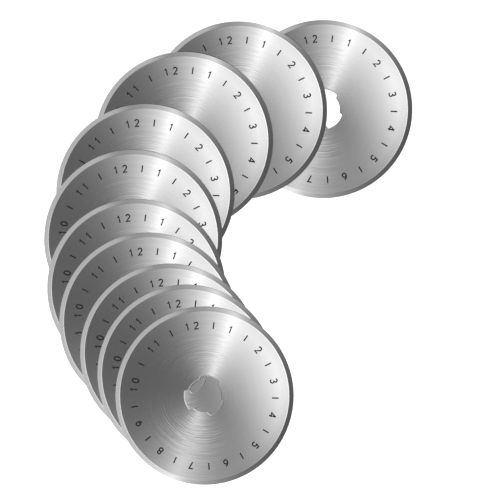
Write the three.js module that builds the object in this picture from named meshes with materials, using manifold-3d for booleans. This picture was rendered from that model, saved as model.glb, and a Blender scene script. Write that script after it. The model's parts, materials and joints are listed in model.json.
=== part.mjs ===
// Ten loose round blades for a rotary cutter, spread on a table in an overlapping fan.
//
// Millimetres, +Z up. The first blade lies flat on the table and each later one leans
// on those before it. The origin is under the middle of the fan, on the table.

import * as THREE from "three";
import { mergeVertices } from "three/addons/utils/BufferGeometryUtils.js";
import Module from "manifold-3d";

// One blade
const BLADE_RADIUS = 22.5;
const THICKNESS = 0.3;
const BEVEL_WIDTH = 1.1; // ground on both sides, so the edge is at mid thickness
const HOLE_RADIUS = 4.2;
const LOBE_RADIUS = 5;
const LOBE_COUNT = 3;
const LOBE_SWEEP = 54; // degrees that one lobe spans at its full radius
const LOBE_FLANK = 8; // degrees from the hole's own radius out to the lobe's
const FIRST_LOBE = 74; // degrees from +X to the middle of a lobe

// The fan: its blades' centres follow an arc, and then the straight line that leaves it.
// Steps shrink along the fan, and wide and narrow ones take turns, as if dealt by hand.
const BLADE_COUNT = 10;
const FAN_RADIUS = 38;
const FAN_START = 74.5; // degrees from +X, seen from the arc's centre
const FAN_SWEEP = 145;
const FIRST_STEP = 20; // along the path, from the first blade's centre to the second's
const STEP_RATIO = 0.87; // each step to the one before it
const UNEVENNESS = 0.09; // part of a step by which it is then made wider or narrower
const GAP = 0.05; // air left where one blade lies on another
const LOAD_REACH = 20; // furthest from its own centre that a blade can carry its load

// How finely curves and slopes are worked out
const RIM_SEGMENTS = 120; // a whole number for each twelfth of a turn
const ARC_SEGMENTS = 6;
const STEEPEST = 0.1; // slope that no resting blade reaches
const SEARCH_STEPS = 40;

const SHOULDER_RADIUS = BLADE_RADIUS - BEVEL_WIDTH;
const HALF = THICKNESS / 2;
const radians = THREE.MathUtils.degToRad;
const wasm = await Module();
wasm.setup();

// A closed geometry as a manifold solid, and back again.
function solidOf(geometry) {
  const bare = geometry.clone();
  bare.deleteAttribute("normal");
  bare.deleteAttribute("uv");
  const merged = mergeVertices(bare);
  return new wasm.Manifold(new wasm.Mesh({
    numProp: 3,
    vertProperties: new Float32Array(merged.attributes.position.array),
    triVerts: new Uint32Array(merged.index.array),
  }));
}

function geometryOf(solid) {
  const mesh = solid.getMesh();
  const geometry = new THREE.BufferGeometry();
  geometry.setAttribute("position", new THREE.BufferAttribute(mesh.vertProperties, 3));
  geometry.setIndex(new THREE.BufferAttribute(mesh.triVerts, 1));
  geometry.computeVertexNormals();
  return geometry;
}

// The disc: flat faces, and a bevel on each side that runs out to a knife edge.
function discGeometry() {
  const profile = [
    new THREE.Vector2(0, -HALF),
    new THREE.Vector2(SHOULDER_RADIUS, -HALF),
    new THREE.Vector2(BLADE_RADIUS, 0),
    new THREE.Vector2(SHOULDER_RADIUS, HALF),
    new THREE.Vector2(0, HALF),
  ];
  return new THREE.LatheGeometry(profile, RIM_SEGMENTS).rotateX(Math.PI / 2);
}

// The arbor hole: a round hole with shallow lobes, which key the blade to its holder.
function holeShape() {
  const outline = new THREE.Shape();
  const pitch = 360 / LOBE_COUNT;
  const lobeHalf = LOBE_SWEEP / 2;
  for (let lobe = 0; lobe < LOBE_COUNT; lobe += 1) {
    const middle = FIRST_LOBE + lobe * pitch;
    const lobeEnd = middle + lobeHalf;
    const nextLobe = middle + pitch - lobeHalf;
    outline.absarc(0, 0, LOBE_RADIUS, radians(middle - lobeHalf), radians(lobeEnd));
    outline.absarc(0, 0, HOLE_RADIUS, radians(lobeEnd + LOBE_FLANK), radians(nextLobe - LOBE_FLANK));
  }
  outline.closePath();
  return outline;
}

function bladeGeometry() {
  const depth = 4 * THICKNESS;
  const options = { depth, bevelEnabled: false, curveSegments: ARC_SEGMENTS };
  const cutter = new THREE.ExtrudeGeometry(holeShape(), options).translate(0, 0, -depth / 2);
  return geometryOf(solidOf(discGeometry()).subtract(solidOf(cutter)));
}

// The point at a distance along the fan's path.
function pathPoint(distance) {
  const arcLength = FAN_RADIUS * radians(FAN_SWEEP);
  const angle = radians(FAN_START) + Math.min(distance, arcLength) / FAN_RADIUS;
  const beyond = Math.max(distance - arcLength, 0);
  return new THREE.Vector2(
    FAN_RADIUS * Math.cos(angle) - beyond * Math.sin(angle),
    FAN_RADIUS * Math.sin(angle) + beyond * Math.cos(angle),
  );
}

function fanCentres() {
  const centres = [];
  let distance = 0;
  for (let count = 0; count < BLADE_COUNT; count += 1) {
    centres.push(pathPoint(distance));
    const uneven = count % 2 === 0 ? UNEVENNESS : -UNEVENNESS;
    distance += FIRST_STEP * STEP_RATIO ** count * (1 + uneven);
  }
  return centres;
}

// Half of the blade's thickness at a radius: whole on the face, nothing at the edge.
function halfThickness(radius) {
  return HALF * Math.min(1, (BLADE_RADIUS - radius) / BEVEL_WIDTH);
}

// Points round a blade's shoulder, where a tilted blade first touches what is below it.
function shoulderPoints(centre) {
  const points = [];
  for (let degree = 0; degree < 360; degree += 1) {
    const angle = radians(degree);
    const offset = new THREE.Vector2(Math.cos(angle), Math.sin(angle));
    points.push(offset.multiplyScalar(SHOULDER_RADIUS).add(centre));
  }
  return points;
}

function middleHeight(blade, point) {
  const { centre, height, slopeX, slopeY } = blade;
  return height + slopeX * (point.x - centre.x) + slopeY * (point.y - centre.y);
}

// The height that the underside has to clear at a point: the table, or the blades there.
function floorAt(point, below) {
  let floor = 0;
  for (const blade of below) {
    const radius = point.distanceTo(blade.centre);
    if (radius < BLADE_RADIUS) {
      floor = Math.max(floor, middleHeight(blade, point) + halfThickness(radius) + GAP);
    }
  }
  return floor;
}

// The least value of a convex function of one number, and where it is.
function lowest(height) {
  let low = -STEEPEST;
  let high = STEEPEST;
  for (let count = 0; count < SEARCH_STEPS; count += 1) {
    const third = (high - low) / 3;
    if (height(low + third) < height(high - third)) {
      high -= third;
    } else {
      low += third;
    }
  }
  const at = (low + high) / 2;
  return { at, value: height(at) };
}

// Where a blade's load bears: towards the next blade, as far out as the middle of all the
// blades from this one up, but still on its face. The last blade carries only itself.
function loadPoint(centres, index) {
  const centre = centres[index];
  const carried = centres.slice(index);
  const middle = new THREE.Vector2();
  carried.forEach((point) => middle.addScaledVector(point, 1 / carried.length));
  const next = centres[index + 1] ?? centre;
  const reach = Math.min(middle.distanceTo(centre), LOAD_REACH);
  return next.clone().sub(centre).setLength(reach).add(centre);
}

// A blade comes to rest as low as the table and the blades below allow, at the point
// where its load bears.
function restingBlade(centre, load, below) {
  const points = shoulderPoints(centre);
  for (const blade of below) {
    points.push(...shoulderPoints(blade.centre));
  }
  const supports = points
    .filter((point) => point.distanceTo(centre) < BLADE_RADIUS)
    .map((point) => ({
      x: point.x - centre.x,
      y: point.y - centre.y,
      need: floorAt(point, below) + halfThickness(point.distanceTo(centre)),
    }));
  const centreHeight = (slopeX, slopeY) =>
    supports.reduce((most, { x, y, need }) => Math.max(most, need - slopeX * x - slopeY * y), 0);
  const arm = load.clone().sub(centre);
  const loadHeight = (slopeX, slopeY) =>
    centreHeight(slopeX, slopeY) + slopeX * arm.x + slopeY * arm.y;
  const bestSlopeY = (slopeX) => lowest((slopeY) => loadHeight(slopeX, slopeY));
  const slopeX = lowest((slope) => bestSlopeY(slope).value).at;
  const slopeY = bestSlopeY(slopeX).at;
  return { centre, slopeX, slopeY, height: centreHeight(slopeX, slopeY) };
}

function spreadFan() {
  const centres = fanCentres();
  const blades = [];
  centres.forEach((centre, index) => {
    blades.push(restingBlade(centre, loadPoint(centres, index), blades));
  });
  return blades;
}

function bladeMesh(geometry, blade, index) {
  const steel = new THREE.MeshStandardMaterial({ color: 0xb4b4b4, roughness: 0.3, metalness: 1 });
  const mesh = new THREE.Mesh(geometry, steel);
  const up = new THREE.Vector3(0, 0, 1);
  const normal = new THREE.Vector3(-blade.slopeX, -blade.slopeY, 1).normalize();
  mesh.name = `blade_${String(index + 1).padStart(2, "0")}`;
  mesh.position.set(blade.centre.x, blade.centre.y, blade.height);
  mesh.quaternion.setFromUnitVectors(up, normal);
  return mesh;
}

const geometry = bladeGeometry();
const fan = new THREE.Group();
spreadFan().forEach((blade, index) => fan.add(bladeMesh(geometry, blade, index)));

// The origin goes under the middle of the fan's box.
const box = new THREE.Box3().setFromObject(fan, true);
const middle = box.getCenter(new THREE.Vector3());
fan.position.set(-middle.x, -middle.y, -box.min.z);

export default fan;
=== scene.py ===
# %% [markdown]
# # Loose rotary cutter blades, fanned out on a table
#
# The real object is a spread of ten thin round blades. Each is a steel disc whose faces
# were turned on a spindle, whose rim was ground to a knife edge from both sides, and
# whose middle has a lobed hole that keys it to the cutter. A dial of numbers and ticks is
# marked on the upper face.
#
# Nearly everything the eye sees here is reflection, so this lesson spends its effort on
# three things: the direction of the grain, the slope of each ground surface, and
# surroundings that give those slopes something to reflect.

# %% Load the frame
import json
import math

import bpy
import numpy as np
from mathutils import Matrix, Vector


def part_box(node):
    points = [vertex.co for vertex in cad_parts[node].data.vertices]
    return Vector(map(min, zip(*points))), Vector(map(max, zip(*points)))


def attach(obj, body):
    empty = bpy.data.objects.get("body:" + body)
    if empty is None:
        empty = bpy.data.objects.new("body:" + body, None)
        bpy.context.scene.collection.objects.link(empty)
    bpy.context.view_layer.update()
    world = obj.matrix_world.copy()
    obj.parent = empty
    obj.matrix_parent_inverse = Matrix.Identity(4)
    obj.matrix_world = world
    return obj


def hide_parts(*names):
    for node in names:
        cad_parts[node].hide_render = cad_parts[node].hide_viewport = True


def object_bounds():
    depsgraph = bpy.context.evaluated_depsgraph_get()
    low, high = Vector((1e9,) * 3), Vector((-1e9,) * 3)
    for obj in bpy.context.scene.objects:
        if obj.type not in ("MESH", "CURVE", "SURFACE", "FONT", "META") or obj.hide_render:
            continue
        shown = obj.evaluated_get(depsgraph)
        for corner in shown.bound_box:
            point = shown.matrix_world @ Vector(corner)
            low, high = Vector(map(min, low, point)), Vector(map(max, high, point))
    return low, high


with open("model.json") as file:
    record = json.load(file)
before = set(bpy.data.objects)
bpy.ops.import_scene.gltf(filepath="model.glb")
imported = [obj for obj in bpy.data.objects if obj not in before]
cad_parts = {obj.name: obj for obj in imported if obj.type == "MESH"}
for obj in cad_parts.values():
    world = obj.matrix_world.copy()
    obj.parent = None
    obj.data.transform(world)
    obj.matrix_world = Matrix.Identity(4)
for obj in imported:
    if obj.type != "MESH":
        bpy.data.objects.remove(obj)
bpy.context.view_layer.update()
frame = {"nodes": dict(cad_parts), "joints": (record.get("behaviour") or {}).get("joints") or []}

MM = 0.001
print("nodes:", sorted(frame["nodes"]))

# %% [markdown]
# ## Where each blade lies
#
# The places could be typed in again, but then they might drift from the model. Every blade
# except the first turns on a joint, and a joint's position and axis are exactly the
# blade's centre and its upward normal, so they are read from the frame. The first blade
# lies flat, and its box gives the same facts.

# %% Blade places
UP = Vector((0, 0, 1))


def blade_places():
    """Blade name to (centre, upward normal), in metres."""
    low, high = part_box("blade_01")
    places = {"blade_01": ((low + high) / 2, UP)}
    for joint in frame["joints"]:
        places[joint["child"]] = (Vector(joint["pos_m"]), Vector(joint["axis"]).normalized())
    return places


places = blade_places()
flat_low, flat_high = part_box("blade_01")
BLADE_RADIUS = (flat_high.x - flat_low.x) / 2
HALF_THICKNESS = (flat_high.z - flat_low.z) / 2
for name, (centre, normal) in places.items():
    lean = math.degrees(normal.angle(UP))
    print(f"{name} centre {centre.x / MM:.1f} {centre.y / MM:.1f} mm, leans {lean:.1f} degrees")

# %% [markdown]
# ## The camera
#
# Product pictures of flat things are often taken from straight above with a long lens, so
# that circles stay circles. An orthographic camera does that exactly. It frames a square
# a little wider than the fan, with more room on the side towards which the fan opens.

# %% Camera
VIEW_WIDTH = 126.2 * MM
VIEW_ASIDE = Vector((5.5, 0.6, 0)) * MM
CAMERA_HEIGHT = 300 * MM


def add_object(name, data):
    """A new object in the scene, at the origin."""
    made = bpy.data.objects.new(name, data)
    bpy.context.scene.collection.objects.link(made)
    return made


def make_camera():
    low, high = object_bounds()
    data = bpy.data.cameras.new("overhead_camera")
    data.type = "ORTHO"
    data.ortho_scale = VIEW_WIDTH
    camera = add_object("overhead_camera", data)
    camera.location = (low + high) / 2 + VIEW_ASIDE
    camera.location.z = CAMERA_HEIGHT
    bpy.context.scene.camera = camera
    print("camera at", [round(c / MM, 1) for c in camera.location], "mm")


make_camera()

# %% [markdown]
# ## Writing node recipes
#
# The sky and every finish below are made of nodes. Adding a node, setting it and linking
# it takes several lines each time, which hides the idea, so a small class shortens them.
# It changes nothing about the nodes themselves.

# %% Node helper
class Tree:
    """A few short ways to add nodes to a tree, so that a recipe reads as one."""

    def __init__(self, tree):
        self.tree = tree

    def add(self, kind, settings=None, **inputs):
        node = self.tree.nodes.new("ShaderNode" + kind)
        for key, value in (settings or {}).items():
            setattr(node, key, value)
        for key, value in inputs.items():
            self.feed(node.inputs[key.replace("_", " ")], value)
        return node

    def feed(self, socket, value):
        if isinstance(value, bpy.types.NodeSocket):
            self.tree.links.new(value, socket)
        else:
            socket.default_value = value

    def feed_all(self, node, values):
        for socket, value in zip(node.inputs, values):
            self.feed(socket, value)
        return node

    def math(self, operation, *values):
        node = self.add("Math", {"operation": operation})
        return self.feed_all(node, values).outputs[0]

    def vector(self, operation, *values):
        node = self.add("VectorMath", {"operation": operation})
        return self.feed_all(node, values).outputs["Vector"]

    def scale(self, vector, factor):
        node = self.add("VectorMath", {"operation": "SCALE"}, Scale=factor)
        self.feed(node.inputs[0], vector)
        return node.outputs["Vector"]

    def along(self, vector, direction):
        """How far a vector goes in a fixed direction."""
        node = self.add("VectorMath", {"operation": "DOT_PRODUCT"})
        return self.feed_all(node, (vector, direction)).outputs["Value"]

    def length(self, vector):
        return self.add("VectorMath", {"operation": "LENGTH"}, Vector=vector).outputs["Value"]

    def remap(self, value, low, high, to_low=0.0, to_high=1.0):
        """An S-shaped change from to_low to to_high while the value goes from low to high."""
        node = self.add("MapRange", {"interpolation_type": "SMOOTHSTEP"})
        return self.feed_all(node, (value, low, high, to_low, to_high)).outputs["Result"]

    def grey(self, tone):
        return self.add("CombineColor", Red=tone, Green=tone, Blue=tone).outputs[0]


print("recipe words:", [word for word in vars(Tree) if not word.startswith("_")])

# %% [markdown]
# ## The light
#
# A mirror shows its surroundings, and a turned steel face is a mirror that is blurred in
# one direction only: across its grooves. So the light is planned as a picture for the
# steel to reflect, and a few lamps' worth of it is enough.
#
# Lamps at a real distance would hit each blade from a slightly different direction. The
# studio's lamps are far away compared with a blade, so they are painted on the sky. All
# of them are worked out from the level part of a ray, which is how far it leans and which
# way.

# %% Level directions
def clock_direction(clock):
    """Level unit vector for a clock angle: 0 is +Y and 90 is +X."""
    around = math.radians(clock)
    return math.sin(around), math.cos(around), 0.0


print("clock 90 points along", [round(part, 3) for part in clock_direction(90)])

# %% [markdown]
# ### The overhead strip
#
# A strip with a bright core and a dimmer skirt runs overhead from one horizon to the
# other. It widens as it comes down, like a bow tie, so the bright wedges that it makes on
# a disc have straight sides. The core and the skirt are two strips of their own, hung a
# few degrees apart.

# %% Strips
SKIRT_CLOCK = 16
SKIRT_SPREAD = 0.5
SKIRT_RADIANCE = 0.66
CORE_CLOCK = 20
CORE_SPREAD = 0.1
CORE_RADIANCE = 0.55
LEAST_WIDTH = 0.001


def strip_light(tree, lean, clock, spread, radiance):
    """Radiance / (1 + (sideways / (spread * whole lean))^2): the same at any lean.

    A least width is added to the strip, so that it has one even radiance straight overhead,
    where both parts of the fraction would be nothing.
    """
    sideways = tree.along(lean, clock_direction(clock + 90))
    lengthways = tree.along(lean, clock_direction(clock))
    sideways_square = tree.math("MULTIPLY", sideways, sideways)
    whole_square = tree.math("MULTIPLY_ADD", lengthways, lengthways, sideways_square)
    width_square = tree.math("MULTIPLY_ADD", whole_square, spread**2, LEAST_WIDTH**2)
    both = tree.math("ADD", width_square, sideways_square)
    return tree.math("MULTIPLY", tree.math("DIVIDE", width_square, both), radiance)


print("skirt and core hang at clocks", SKIRT_CLOCK, "and", CORE_CLOCK)

# %% [markdown]
# ### A flag on the core
#
# A flag is a dark card on a stand. This one covers most of the core along part of one
# end, which lets one wedge of each face fade towards the rim. The bevels look past its
# far side and still see the whole core.

# %% Flag
FLAG_NEAR = (0.26, 0.3)
FLAG_FAR = (0.42, 0.52)
FLAG_SHADE = 0.7


def flag_share(tree, lean):
    """Share of the core that passes the flag: 1 - shade behind it, and 1 elsewhere."""
    lengthways = tree.along(lean, clock_direction(CORE_CLOCK))
    past_near = tree.remap(lengthways, *FLAG_NEAR)
    before_far = tree.remap(lengthways, *FLAG_FAR, 1.0, 0.0)
    covered = tree.math("MULTIPLY", past_near, before_far)
    return tree.math("MULTIPLY_ADD", covered, -FLAG_SHADE, 1.0)


print("the flag lets", round(1 - FLAG_SHADE, 2), "of the core through")

# %% [markdown]
# ### Side light and low light
#
# A broad soft light to one side makes one half of each face bright and leaves the other
# dark. The faces look at a round patch of sky, and the steeper bevels only at what lies
# outside it. So a ring divides the sky. The side light fills the patch, and a plain low
# light further out is there for the bevels alone.

# %% Side and low lights
SIDE_CLOCK = 256
SIDE_START = -0.18
SIDE_GROWTH = 7.9
LOW_CLOCK = 273
LOW_EDGE = (0.1, 0.3)
LOW_RADIANCE = 0.53
RING = (0.5, 0.56)


def side_light(tree, lean):
    """Growth * (distance past the start)^3."""
    across = tree.along(lean, clock_direction(SIDE_CLOCK))
    past = tree.math("MAXIMUM", tree.math("SUBTRACT", across, SIDE_START), 0.0)
    return tree.math("MULTIPLY", tree.math("POWER", past, 3.0), SIDE_GROWTH)


def low_light(tree, lean):
    """One even radiance towards one side, with a feathered edge."""
    across = tree.along(lean, clock_direction(LOW_CLOCK))
    return tree.remap(across, *LOW_EDGE, 0.0, LOW_RADIANCE)


def divided_lights(tree, lean):
    """The side light inside the ring and the low light outside it."""
    lights = tree.add("Mix", {"data_type": "FLOAT"}, Factor=tree.remap(tree.length(lean), *RING))
    tree.feed(lights.inputs["A"], side_light(tree, lean))
    tree.feed(lights.inputs["B"], low_light(tree, lean))
    return lights.outputs["Result"]


for edge in RING:
    print(f"level part {edge} is a ray {math.degrees(math.asin(edge)):.0f} degrees from upright")

# %% [markdown]
# ### The sky as one sum
#
# The horizon is evenly pale, for the edges and for anybody who looks from low down. Below
# it the sky is white like the table, so that the table's far edge doesn't show. The table
# keeps that part of the sky from the blades.

# %% Sky
ZENITH_RADIANCE = 0.01
HORIZON_EDGE = (0.5, 0.15)
HORIZON_RADIANCE = 0.6
BELOW_EDGE = (0.0, -0.02)
BELOW_RADIANCE = 0.7


def make_sky():
    """Radiance = zenith + core + skirt + side or low light + horizon + below."""
    world = bpy.data.worlds.new("studio_sky")
    world.use_nodes = True
    tree = Tree(world.node_tree)
    direction = tree.add("TexCoord").outputs["Generated"]
    lean = tree.vector("MULTIPLY", direction, (1.0, 1.0, 0.0))
    strip = strip_light(tree, lean, CORE_CLOCK, CORE_SPREAD, CORE_RADIANCE)
    core = tree.math("MULTIPLY", strip, flag_share(tree, lean))
    skirt = strip_light(tree, lean, SKIRT_CLOCK, SKIRT_SPREAD, SKIRT_RADIANCE)
    lamps = tree.math("ADD", tree.math("ADD", core, skirt), divided_lights(tree, lean))
    height = tree.along(direction, (0.0, 0.0, 1.0))
    horizon = tree.remap(height, *HORIZON_EDGE, 0.0, HORIZON_RADIANCE)
    below = tree.remap(height, *BELOW_EDGE, 0.0, BELOW_RADIANCE)
    even = tree.math("ADD", tree.math("ADD", horizon, below), ZENITH_RADIANCE)
    background = world.node_tree.nodes["Background"]
    background.inputs["Color"].default_value = (1, 1, 1, 1)
    tree.feed(background.inputs["Strength"], tree.math("ADD", lamps, even))
    bpy.context.scene.world = world
    print("the sky is a recipe of", len(world.node_tree.nodes), "nodes")


make_sky()
bpy.context.scene.view_settings.view_transform = "Standard"

# %% [markdown]
# ## The table
#
# Flat shiny things are often laid on a light table, a sheet of white plastic lit from
# behind, because it leaves no shadow round their edges. So this floor is a plain pale
# sheet with a glow of its own. It lies a hair below the blades, so that the two don't
# fight for the same surface.

# %% Table
TABLE_REACH = 3.0
TABLE_DROP = 0.02 * MM
TABLE_TONE = 0.8
TABLE_ROUGHNESS = 0.9
TABLE_SHINE = 0.1
TABLE_GLOW = 0.85


def make_table():
    corners = np.array([[-1, -1, 0], [1, -1, 0], [1, 1, 0], [-1, 1, 0]], float) * TABLE_REACH
    corners[:, 2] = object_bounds()[0].z - TABLE_DROP
    mesh = bpy.data.meshes.new("table_top")
    mesh.from_pydata(corners.tolist(), [], [(0, 1, 2, 3)])
    material = bpy.data.materials.new("lit_table")
    material.use_nodes = True
    shader = material.node_tree.nodes["Principled BSDF"].inputs
    shader["Base Color"].default_value = (TABLE_TONE, TABLE_TONE, TABLE_TONE, 1)
    shader["Roughness"].default_value = TABLE_ROUGHNESS
    shader["Specular IOR Level"].default_value = TABLE_SHINE
    shader["Emission Color"].default_value = (1, 1, 1, 1)
    shader["Emission Strength"].default_value = TABLE_GLOW
    mesh.materials.append(material)
    table = add_object("table_top", mesh)
    print(f"table at {corners[0, 2] / MM:.2f} mm")


make_table()

# %% [markdown]
# ## One blade as a surface
#
# A disc with a hole is a ring: a small closed outline carried once round an axis. So one
# blade is a grid with two parameters, the angle round the axis and the place along the
# outline. The outline runs up the wall of the hole and over the edge that the punch left,
# out across the face, over a shoulder that the grinding left slightly soft, down the
# bevel to the knife edge, and back along the underside.
#
# A punch rolls the steel in where it enters and pushes up a fine lip where it comes out.
# The numbers are on the lip's side. Both edges are the same S-shaped curve: it falls to
# the hole on one side and rises to it on the other.
#
# Only the inner end of the outline changes with the angle, because the hole has lobes.

# %% Hole
HOLE_RADIUS = 4.2 * MM
LOBE_RADIUS = 5.0 * MM
LOBE_COUNT = 3
LOBE_HALF_SWEEP = math.radians(27)
LOBE_FLANK = math.radians(8)
FIRST_LOBE = math.radians(74)


def smooth(t):
    """0 below 0, 1 above 1, and an S-shaped rise between them."""
    t = np.clip(t, 0, 1)
    return t * t * (3 - 2 * t)


def hole_radius(angle):
    """The hole's radius at an angle: its own, rising over a short flank to a lobe's."""
    pitch = 2 * math.pi / LOBE_COUNT
    from_lobe = np.abs((angle - FIRST_LOBE + pitch / 2) % pitch - pitch / 2)
    rise = smooth((LOBE_HALF_SWEEP + LOBE_FLANK - from_lobe) / LOBE_FLANK)
    return HOLE_RADIUS + (LOBE_RADIUS - HOLE_RADIUS) * rise


print(f"hole is {hole_radius(FIRST_LOBE) / MM:.1f} mm from the axis at the middle of a lobe")

# %% Outline
BEVEL_WIDTH = 1.1 * MM
EDGE_WIDTH = 0.26 * MM
LIP_RISE = 0.035 * MM
ROLL_DEPTH = 0.07 * MM
EDGE_RINGS = 6
EDGE_MARGIN = 0.03 * MM
SHOULDER_SOFTNESS = 0.04 * MM
FACE_RINGS = 8
BEVEL_RINGS = 3


def half_outline(edge_rise):
    """Rows of (share, offset, height, finish) from the hole's wall out to the knife edge.

    The radius is hole + share * (shoulder - hole) + offset, so share 0 follows the hole
    and share 1 is round. The edge of the hole stands edge_rise above the face and comes
    down to it in an S-shaped curve. The face and the bevel are straight, with a short
    facet between them.
    """
    rows = []
    for part in np.linspace(0, 1, EDGE_RINGS):
        height = HALF_THICKNESS + edge_rise * (1 - smooth(part))
        rows.append((0, EDGE_WIDTH * part, height, "hole"))
    for share in np.linspace(0, 1, FACE_RINGS):
        offset = (EDGE_WIDTH + EDGE_MARGIN) * (1 - share) - SHOULDER_SOFTNESS * share
        rows.append((share, offset, HALF_THICKNESS, "face"))
    for offset in np.linspace(SHOULDER_SOFTNESS, BEVEL_WIDTH, BEVEL_RINGS + 1):
        rows.append((1, offset, HALF_THICKNESS * (1 - offset / BEVEL_WIDTH), "bevel"))
    return rows


upper = half_outline(LIP_RISE)
under = half_outline(-ROLL_DEPTH)[-2::-1]
outline = upper + [(share, offset, -height, finish) for share, offset, height, finish in under]
print("outline has", len(outline), "points")

# %% [markdown]
# ## The grid of a blade
#
# All the points are worked out at once as arrays. Each face of the grid joins four
# neighbours, and both directions wrap round, so the surface closes on itself with no seam.

# %% Blade grid
AROUND = 720


def blade_grid():
    """Angle, radius and height of every grid point: one row for each angle."""
    angle = np.arange(AROUND)[:, None] * 2 * math.pi / AROUND
    share, offset, height = (np.array(column, float) for column in list(zip(*outline))[:3])
    hole = hole_radius(angle)
    radius = hole + share * (BLADE_RADIUS - BEVEL_WIDTH - hole) + offset
    return np.broadcast_to(angle, radius.shape), radius, np.broadcast_to(height, radius.shape)


def blade_faces(around, along):
    """Corner numbers of each quad, wrapping in both directions, wound to face outwards."""
    i, j = np.meshgrid(np.arange(around), np.arange(along), indexing="ij")
    i_next, j_next = (i + 1) % around, (j + 1) % along
    corners = [i * along + j, i * along + j_next, i_next * along + j_next, i_next * along + j]
    return np.stack(corners, -1).reshape(-1, 4), i.ravel(), j.ravel()


print("a blade's grid is", AROUND, "by", len(outline), "points")

# %% [markdown]
# ## From grid to mesh
#
# The grid becomes a mesh where the blade lies. Each strip of it gets the finish of its two
# rows. Where those differ, the hole's goes before the bevel's, and the bevel's before the
# face's. The mesh also carries a map of its own: one direction is the angle and the other
# is the radius, and the grain of the steel follows that map.

# %% Blade mesh
KNIFE_ANGLE = math.radians(60)
FINISHES = ["face", "bevel", "hole"]


def place_points(points, centre, normal):
    """Moves points from a blade's own flat frame to where it lies, by the least turn."""
    turn = UP.rotation_difference(normal)
    axes = np.array([turn @ Vector((1, 0, 0)), turn @ Vector((0, 1, 0)), normal])
    return points @ axes + np.array(centre)


def row_finish():
    """Which finish each strip of the outline has, as a material number."""
    finish = []
    for here, after in zip(outline, outline[1:] + outline[:1]):
        pair = {here[3], after[3]}
        kind = "hole" if "hole" in pair else "bevel" if "bevel" in pair else "face"
        finish.append(FINISHES.index(kind))
    return np.array(finish, np.int32)


def make_blade(name, centre, normal, materials):
    """Points = (radius * cos(angle), radius * sin(angle), height), moved to where it lies."""
    angle, radius, height = blade_grid()
    flat = np.stack([radius * np.cos(angle), radius * np.sin(angle), height], -1)
    points = place_points(flat.reshape(-1, 3), centre, normal)
    faces, i, j = blade_faces(AROUND, len(outline))
    mesh = bpy.data.meshes.new(name + "_steel")
    mesh.from_pydata(points.tolist(), [], faces.tolist())
    spin = mesh.uv_layers.new(name="spin")
    u = np.stack([i, i, i + 1, i + 1], -1) / AROUND
    v = radius.reshape(-1)[faces] / BLADE_RADIUS
    spin.data.foreach_set("uv", np.stack([u, v], -1).astype(np.float32).ravel())
    lean = mesh.attributes.new("lean", "FLOAT_VECTOR", "POINT")
    lean.data.foreach_set("vector", np.tile(np.array(normal - UP, np.float32), len(points)))
    for material in materials:
        mesh.materials.append(material)
    mesh.polygons.foreach_set("material_index", row_finish()[j])
    mesh.shade_smooth()
    mesh.set_sharp_from_angle(angle=KNIFE_ANGLE)
    return add_object(name + "_steel", mesh)


print("strips of each finish:", dict(zip(FINISHES, np.bincount(row_finish()).tolist())))

# %% [markdown]
# ## Turned grain, shared by the finishes
#
# The face and the bevel were both cut while the blade span, so both have grooves that run
# round it. What shows isn't their depth but their lay: each groove is cut up to a degree or
# two off true, so that it catches a light a little earlier or later than its neighbours.
# That breaks the edges of the wedge into fine streaks and leaves the even parts smooth.
#
# Bump from a height would tilt the surface mostly across the grooves, where the metal is
# blurred anyway. So the group tilts the normal itself, along the groove by a "stray" and
# across it by a "ripple". Both come from noise of the radius. A second noise also changes
# slowly with the angle, which enters as a point on a circle, so that the map's edge
# leaves no seam. "Breaks" is that circle's size, so more breaks give shorter arcs.

# %% Turned grain group
SOCKET_KINDS = {float: "NodeSocketFloat", tuple: "NodeSocketVector"}
NOISE_MIDDLE = (0.35, 0.65)
RING_SWING = 0.7
ARC_SWING = 0.4


def new_group(name, inputs, outputs):
    """An empty node group, the sockets of what it is given, and those of its results."""
    group = bpy.data.node_groups.new(name, "ShaderNodeTree")
    for key, default in inputs.items():
        kind = SOCKET_KINDS[type(default)]
        group.interface.new_socket(key, in_out="INPUT", socket_type=kind).default_value = default
    for key, default in outputs.items():
        kind = SOCKET_KINDS[type(default)]
        group.interface.new_socket(key, in_out="OUTPUT", socket_type=kind)
    return group, group.nodes.new("NodeGroupInput").outputs, group.nodes.new("NodeGroupOutput").inputs


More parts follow.
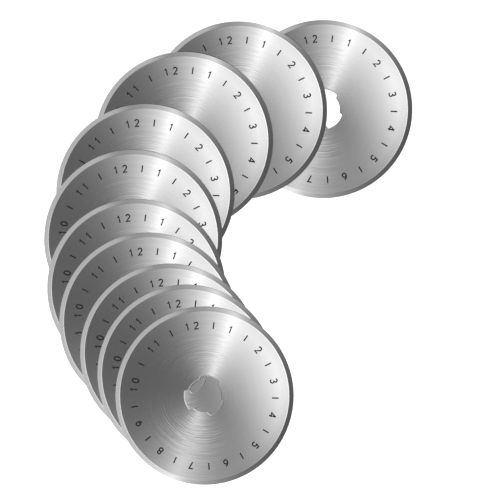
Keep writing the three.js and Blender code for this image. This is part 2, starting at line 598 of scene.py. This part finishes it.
def turned_grain_group():
    """Normal = unit(normal + tangent * stray * (rings + arcs) + outward * ripple * rings)."""
    inputs = {
        "Angle": 0.0, "Radius": 0.0, "Pitch": 0.1 * MM, "Breaks": 2.5, "Stray": 0.02,
        "Ripple": 0.01, "Normal": (0.0, 0.0, 1.0), "Tangent": (1.0, 0.0, 0.0),
    }
    group, given, result = new_group("turned_grain", inputs, {"Normal": (0.0,), "Arcs": 0.0})
    tree = Tree(group)
    groove = tree.math("DIVIDE", given["Radius"], given["Pitch"])
    rings = tree.add("TexNoise", {"noise_dimensions": "1D"}, W=groove, Scale=1.0, Detail=0.0)
    turn = tree.math("MULTIPLY", given["Angle"], 2 * math.pi)
    east = tree.math("MULTIPLY", tree.math("COSINE", turn), given["Breaks"])
    north = tree.math("MULTIPLY", tree.math("SINE", turn), given["Breaks"])
    around = tree.add("CombineXYZ", X=east, Y=north, Z=groove).outputs[0]
    arcs = tree.add("TexNoise", Vector=around, Scale=1.0, Detail=1.0)
    ring = tree.remap(rings.outputs[0], *NOISE_MIDDLE, -RING_SWING, RING_SWING)
    arc = tree.remap(arcs.outputs[0], *NOISE_MIDDLE, -ARC_SWING, ARC_SWING)
    stray = tree.math("MULTIPLY", tree.math("ADD", ring, arc), given["Stray"])
    outward = tree.vector("CROSS_PRODUCT", given["Tangent"], given["Normal"])
    tilt = tree.vector(
        "ADD",
        tree.scale(given["Tangent"], stray),
        tree.scale(outward, tree.math("MULTIPLY", ring, given["Ripple"])),
    )
    turned = tree.vector("NORMALIZE", tree.vector("ADD", given["Normal"], tilt))
    tree.feed(result["Normal"], turned)
    tree.feed(result["Arcs"], arcs.outputs[0])
    return group


turned_grain = turned_grain_group()
print("sockets of the grain:", [item.name for item in turned_grain.interface.items_tree])

# %% [markdown]
# ## Taking the lean out of the normal
#
# The blades lean on each other by a degree or two. A mirror doubles that, so each blade
# would turn its wedges a different way and the spread would look restless. Their shapes
# keep the lean, and their finishes shade as if every blade lay level. Each mesh carries
# its own lean as an attribute, and one small group takes it out of the normal, the other
# way round on the underside.

# %% Level normal group
def level_normal_group():
    """Normal = unit(normal - lean * side), where side is 1 where the surface faces up, else -1."""
    inputs = {"Normal": (0.0, 0.0, 1.0), "Lean": (0.0, 0.0, 0.0)}
    group, given, result = new_group("level_normal", inputs, {"Normal": (0.0,)})
    tree = Tree(group)
    side = tree.math("SIGN", tree.along(given["Normal"], (0.0, 0.0, 1.0)))
    level = tree.vector("SUBTRACT", given["Normal"], tree.scale(given["Lean"], side))
    tree.feed(result["Normal"], tree.vector("NORMALIZE", level))
    return group


level_normal = level_normal_group()
print("groups:", [group.name for group in bpy.data.node_groups])

# %% [markdown]
# ## The steel, shared by the finishes
#
# Steel here is a metallic Principled shader whose grain runs round the axis. The tangent
# comes from the blade's own map, so the blur is across the grooves and the reflection of
# the strip light opens into a wedge.
#
# The face, the bevel and the edge of the hole begin and end alike. They differ in their
# roughness, in their bump and in how strongly the grain strays, so each is a short recipe
# between the same two steps.

# %% Steel
ACROSS_THE_GRAIN = 0.25
ARC_RANGE = (0.3, 0.7)


class Steel(Tree):
    """A metallic material, and the values of the blade's map that its recipe needs."""

    def __init__(self, name, roughness, anisotropy):
        self.material = bpy.data.materials.new(name)
        self.material.use_nodes = True
        super().__init__(self.material.node_tree)
        self.shader = self.tree.nodes["Principled BSDF"].inputs
        self.shader["Metallic"].default_value = 1.0
        self.shader["Anisotropic"].default_value = anisotropy
        self.shader["Anisotropic Rotation"].default_value = ACROSS_THE_GRAIN
        self.shader["Roughness"].default_value = roughness
        self.tangent = self.add("Tangent", {"direction_type": "UV_MAP", "uv_map": "spin"}).outputs[0]
        self.feed(self.shader["Tangent"], self.tangent)
        polar = self.add("UVMap", {"uv_map": "spin"}).outputs[0]
        split = self.add("SeparateXYZ", Vector=polar).outputs
        self.angle = split["X"]
        self.radius = self.math("MULTIPLY", split["Y"], BLADE_RADIUS)
        surface = self.add("NewGeometry").outputs["Normal"]
        lean = self.add("Attribute", {"attribute_name": "lean"}).outputs["Vector"]
        level = self.add("Group", {"node_tree": level_normal}, Normal=surface, Lean=lean)
        self.level = level.outputs[0]

    def bumped(self, height):
        """The level normal, tilted by a height in metres."""
        bump = self.add("Bump", Height=height, Distance=1.0, Strength=1.0, Normal=self.level)
        return bump.outputs[0]

    def lay_grain(self, normal, pitch, stray, ripple, tones):
        """Lays the grain over a normal, tones the steel by its arcs, and gives the material."""
        grain = self.add(
            "Group", {"node_tree": turned_grain}, Angle=self.angle, Radius=self.radius,
            Pitch=pitch, Stray=stray, Ripple=ripple, Normal=normal, Tangent=self.tangent,
        ).outputs
        self.feed(self.shader["Normal"], grain["Normal"])
        tone = self.remap(grain["Arcs"], *ARC_RANGE, *tones)
        self.feed(self.shader["Base Color"], self.grey(tone))
        print(self.material.name, "is a recipe of", len(self.tree.nodes), "nodes")
        return self.material


# %% [markdown]
# ### The spun face
#
# A turned face is never quite flat. A slight hollow tilts each point's reflection towards
# the axis. That belongs in the bump, where a height that grows with the square of the
# radius gives a slope that grows with the radius. The shape itself stays flat. The hollow
# is much deeper than a real one, because it has to spread a wide patch of sky over a face.
#
# Just inside the shoulder the bump also rises by about a hundredth of a millimetre, like
# the burr that grinding leaves, and that draws a thin light line along the face's edge.
#
# The grooves stray most in the middle of the face. A disc that is held a little out of
# true is cut more lightly on one side, so the stray is full round one side of the face,
# and less than half of that opposite.

# %% Spun face
FACE_ROUGHNESS = 0.13
FACE_ANISOTROPY = 1.0
FACE_TONES = (0.68, 0.7)
FACE_PITCH = 0.16 * MM
FACE_HOLLOW = math.radians(12)
BURR_WIDTH = 0.24 * MM
BURR_RISE = 0.012 * MM
STRAY_GROWS = (5 * MM, 12 * MM)
STRAY_RANGE = (0.01, 0.026)
STRAY_FADES = (14 * MM, 18 * MM)
OUTER_SHARE = 0.3
COARSE_SIDE = math.radians(245)
SIDE_CHANGE = (0.0, 0.8)
FINE_SHARE = 0.45
RIPPLE_FADES = (6 * MM, 12 * MM)
RIPPLE_RANGE = (0.015, 0.002)


def face_stray(steel):
    """Stray = (growing with the radius) * (fading under the dial) * (share of this side)."""
    growing = steel.remap(steel.radius, *STRAY_GROWS, *STRAY_RANGE)
    fading = steel.remap(steel.radius, *STRAY_FADES, 1.0, OUTER_SHARE)
    from_coarse = steel.math("MULTIPLY_ADD", steel.angle, 2 * math.pi, -COARSE_SIDE)
    sided = steel.remap(steel.math("COSINE", from_coarse), *SIDE_CHANGE, FINE_SHARE, 1.0)
    return steel.math("MULTIPLY", steel.math("MULTIPLY", growing, fading), sided)


def spun_face():
    """Height = radius^2 * tan(hollow) / (2 * blade radius) + burr."""
    steel = Steel("spun_face", FACE_ROUGHNESS, FACE_ANISOTROPY)
    shoulder = BLADE_RADIUS - BEVEL_WIDTH
    burr = steel.remap(steel.radius, shoulder - BURR_WIDTH, shoulder, 0.0, BURR_RISE)
    square = steel.math("MULTIPLY", steel.radius, steel.radius)
    dish = math.tan(FACE_HOLLOW) / (2 * BLADE_RADIUS)
    normal = steel.bumped(steel.math("MULTIPLY_ADD", square, dish, burr))
    ripple = steel.remap(steel.radius, *RIPPLE_FADES, *RIPPLE_RANGE)
    return steel.lay_grain(normal, FACE_PITCH, face_stray(steel), ripple, FACE_TONES)


face_finish = spun_face()

# %% [markdown]
# ### The ground bevel
#
# The bevel is given a steeper look in the same way. Its bump falls evenly outwards, which
# sends its reflections outside the patch of sky that the faces look at. A grinding wheel
# leaves finer grooves than a turning tool, so the pitch is smaller.

# %% Ground bevel
BEVEL_ROUGHNESS = 0.12
BEVEL_ANISOTROPY = 0.95
BEVEL_TONES = (0.58, 0.62)
BEVEL_PITCH = 0.12 * MM
BEVEL_HOLLOW = math.radians(12)
BEVEL_STRAY = 0.015
BEVEL_RIPPLE = 0.01


def ground_bevel():
    """Height = -radius * tan(hollow)."""
    steel = Steel("ground_bevel", BEVEL_ROUGHNESS, BEVEL_ANISOTROPY)
    normal = steel.bumped(steel.math("MULTIPLY", steel.radius, -math.tan(BEVEL_HOLLOW)))
    return steel.lay_grain(normal, BEVEL_PITCH, BEVEL_STRAY, BEVEL_RIPPLE, BEVEL_TONES)


bevel_finish = ground_bevel()

# %% [markdown]
# ### The edge of the hole, and the blades
#
# A punch shears part of the way through the steel and tears the rest, so the edge of the
# hole is rougher and its blur has little direction. With the three finishes ready, all ten
# blades are made.

# %% Hole edge
EDGE_ROUGHNESS = 0.3
EDGE_ANISOTROPY = 0.3
EDGE_TONES = (0.6, 0.7)
EDGE_PITCH = 0.06 * MM
EDGE_STRAY = 0.02
EDGE_RIPPLE = 0.02


def hole_edge():
    """No height of its own: the grain lies straight on the level normal."""
    steel = Steel("hole_edge", EDGE_ROUGHNESS, EDGE_ANISOTROPY)
    return steel.lay_grain(steel.level, EDGE_PITCH, EDGE_STRAY, EDGE_RIPPLE, EDGE_TONES)


edge_finish = hole_edge()

# %% Blades
steels = [face_finish, bevel_finish, edge_finish]
for name, (centre, normal) in places.items():
    blade = make_blade(name, centre, normal, steels)
    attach(blade, name)
    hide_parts(name)
print("blades made:", len(places))

# %% [markdown]
# ## The dial
#
# The marks are blackened into the steel and stand about a hundredth of a millimetre
# proud. A font would bring a whole outline for each number, and its look would depend on
# which fonts a computer has. Ten numbers drawn as pen strokes need only lines and arcs, so
# each is a path, and one low rounded profile is carried along all of them.

# %% Pen strokes of the numbers
ARC_POINTS = 14


def arc(x, y, width, height, start, end):
    """Points on part of an ellipse: centre, half sizes, and angles in degrees from +X."""
    angle = np.radians(np.linspace(start, end, ARC_POINTS))
    return np.stack([x + width * np.cos(angle), y + height * np.sin(angle)], -1)


def line(*points):
    return np.array(points, float)


def figure_strokes():
    """Pen paths of each figure, one unit tall and centred across."""
    six = np.vstack([arc(0.34, 0.32, 0.62, 0.68, 112, 172), arc(0, 0.3, 0.28, 0.3, 180, 536)])
    five_bowl = arc(0, 0.32, 0.28, 0.32, 125, -150)
    return {
        "0": [arc(0, 0.5, 0.28, 0.5, 90, 446)],
        "1": [line((-0.2, 0.78), (0.02, 1), (0.02, 0))],
        "2": [np.vstack([arc(0, 0.72, 0.27, 0.28, 165, -32), line((-0.28, 0), (0.3, 0))])],
        "3": [arc(0, 0.75, 0.24, 0.25, 155, -80), arc(0, 0.26, 0.28, 0.26, 100, -155)],
        "4": [line((0.14, 1), (-0.32, 0.28), (0.34, 0.28)), line((0.14, 1), (0.14, 0))],
        "5": [np.vstack([line((0.24, 1), (-0.2, 1), (-0.24, 0.56)), five_bowl])],
        "6": [six],
        "7": [line((-0.28, 1), (0.28, 1), (-0.08, 0))],
        "8": [arc(0, 0.75, 0.23, 0.25, 90, 446), arc(0, 0.26, 0.28, 0.26, 90, 446)],
        "9": [line((0, 1)) - six],
        "|": [line((0, 1), (0, 0))],
    }


print("figures and the tick:", " ".join(figure_strokes()))

# %% [markdown]
# The dial counts twelve numbers with a tick between neighbours. A two-figure number takes
# up more room, so the ring is shared out: every neighbour gets one gap, the two figures of
# a number stand closer, and all of it adds up to a full turn.

# %% Where each mark stands
MARK_HEIGHT = 1.7 * MM
MARK_RING = 0.794 * BLADE_RADIUS
FIGURE_GAP = 7.2
FIRST_MARK = -14.0
HOURS = 12


def dial_marks():
    """Pairs of (figure, clock angle) right round the dial, starting with the twelve."""
    numbers = [str(HOURS)] + [str(hour) for hour in range(1, HOURS)]
    inside = FIGURE_GAP * sum(len(number) - 1 for number in numbers)
    gap = (360 - inside) / (2 * HOURS)
    marks, clock = [], FIRST_MARK
    for number in numbers:
        for place, figure in enumerate(number):
            clock += FIGURE_GAP if place else 0
            marks.append((figure, clock))
        marks.append(("|", clock + gap))
        clock += 2 * gap
    return marks


marks = dial_marks()
print("marks on a dial:", len(marks), "first", marks[0], "last", marks[-1])

# %% [markdown]
# A pen leaves a line that is highest in its middle. So half of a flat ellipse is carried
# along each path, sunk a little into the steel so that no gap shows under its edges.

# %% A low rounded profile carried along a path
PEN_WIDTH = 0.38 * MM
PEN_RISE = 0.012 * MM
PEN_SINK = 0.01 * MM
PEN_PROFILE = 7
SHARPEST = 0.55


def carried_profile(path):
    """Grid of points (along, across, xyz): a half ellipse stands across each path point.

    The profile is across = width / 2 * cos(t) and height = (rise + sink) * sin(t) - sink,
    for t from 0 to half a turn. At a bend it follows the mean of both directions and is
    widened by one over the cosine of half the bend, up to a limit, so that strokes keep
    their width.
    """
    step = np.diff(path, axis=0)
    step /= np.linalg.norm(step, axis=1, keepdims=True)
    before, after = np.vstack([step[:1], step]), np.vstack([step, step[-1:]])
    mean = before + after
    mean /= np.linalg.norm(mean, axis=1, keepdims=True)
    half_width = PEN_WIDTH / 2 / np.clip((mean * after).sum(1), SHARPEST, 1)
    side = np.stack([-mean[:, 1], mean[:, 0]], -1) * half_width[:, None]
    around = np.linspace(0, math.pi, PEN_PROFILE)
    level = path[:, None, :] + side[:, None, :] * np.cos(around)[None, :, None]
    rise = np.sin(around) * (PEN_RISE + PEN_SINK) - PEN_SINK
    return np.concatenate([level, np.broadcast_to(rise[:, None], level.shape[:2] + (1,))], -1)


def carried_faces(along, across):
    """Quads of the grid, closed underneath, and one face at each end, all facing outwards."""
    i, j = np.meshgrid(np.arange(along - 1), np.arange(across), indexing="ij")
    here, beside = i * across + j, i * across + (j + 1) % across
    quads = np.stack([here, beside, beside + across, here + across], -1).reshape(-1, 4)
    start = list(reversed(range(across)))
    end = [(along - 1) * across + place for place in range(across)]
    return quads.tolist() + [start, end]


def flat_dial():
    """Points and faces of the whole dial, in a blade's own flat frame."""
    strokes = figure_strokes()
    all_points, all_faces, count = [], [], 0
    for figure, clock in marks:
        outward = np.array(clock_direction(clock)[:2])
        rightward = np.array(clock_direction(clock + 90)[:2])
        for stroke in strokes[figure]:
            local = (stroke - [0, 0.5]) * MARK_HEIGHT
            path = local[:, :1] * rightward + (local[:, 1:] + MARK_RING) * outward
            grid = carried_profile(path)
            faces = carried_faces(*grid.shape[:2])
            all_points.append(grid.reshape(-1, 3) + [0, 0, HALF_THICKNESS])
            all_faces += [[corner + count for corner in face] for face in faces]
            count += grid.shape[0] * grid.shape[1]
    return np.vstack(all_points), all_faces


dial_points, dial_faces = flat_dial()
print("dial has", len(dial_faces), "faces")

# %% [markdown]
# The blackening is a thin oxide, dull and nearly black, and a little uneven at a scale
# finer than the pen's width. Noise on the Object coordinates gives that without a map.

# %% Dial
SPECKLES_PER_METRE = 9000.0
MARK_TONES = (0.008, 0.03)
MARK_ROUGHNESS = (0.5, 0.65)
MARK_SHINE = 0.2


def blackened_marks():
    """Tone and roughness = one noise of the place, each over its own range."""
    material = bpy.data.materials.new("blackened_marks")
    material.use_nodes = True
    tree = Tree(material.node_tree)
    shader = material.node_tree.nodes["Principled BSDF"].inputs
    shader["Specular IOR Level"].default_value = MARK_SHINE
    place = tree.add("TexCoord").outputs["Object"]
    speckle = tree.add("TexNoise", Vector=place, Scale=SPECKLES_PER_METRE, Detail=2.0).outputs[0]
    tree.feed(shader["Base Color"], tree.grey(tree.remap(speckle, *NOISE_MIDDLE, *MARK_TONES)))
    tree.feed(shader["Roughness"], tree.remap(speckle, *NOISE_MIDDLE, *MARK_ROUGHNESS))
    return material


def make_dial(name, centre, normal, material):
    mesh = bpy.data.meshes.new(name + "_dial")
    mesh.from_pydata(place_points(dial_points, centre, normal).tolist(), [], dial_faces)
    mesh.materials.append(material)
    return add_object(name + "_dial", mesh)


marks_finish = blackened_marks()
for name, (centre, normal) in places.items():
    dial = make_dial(name, centre, normal, marks_finish)
    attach(dial, name)
print("dials made:", len(places))

# %% [markdown] ## Ending
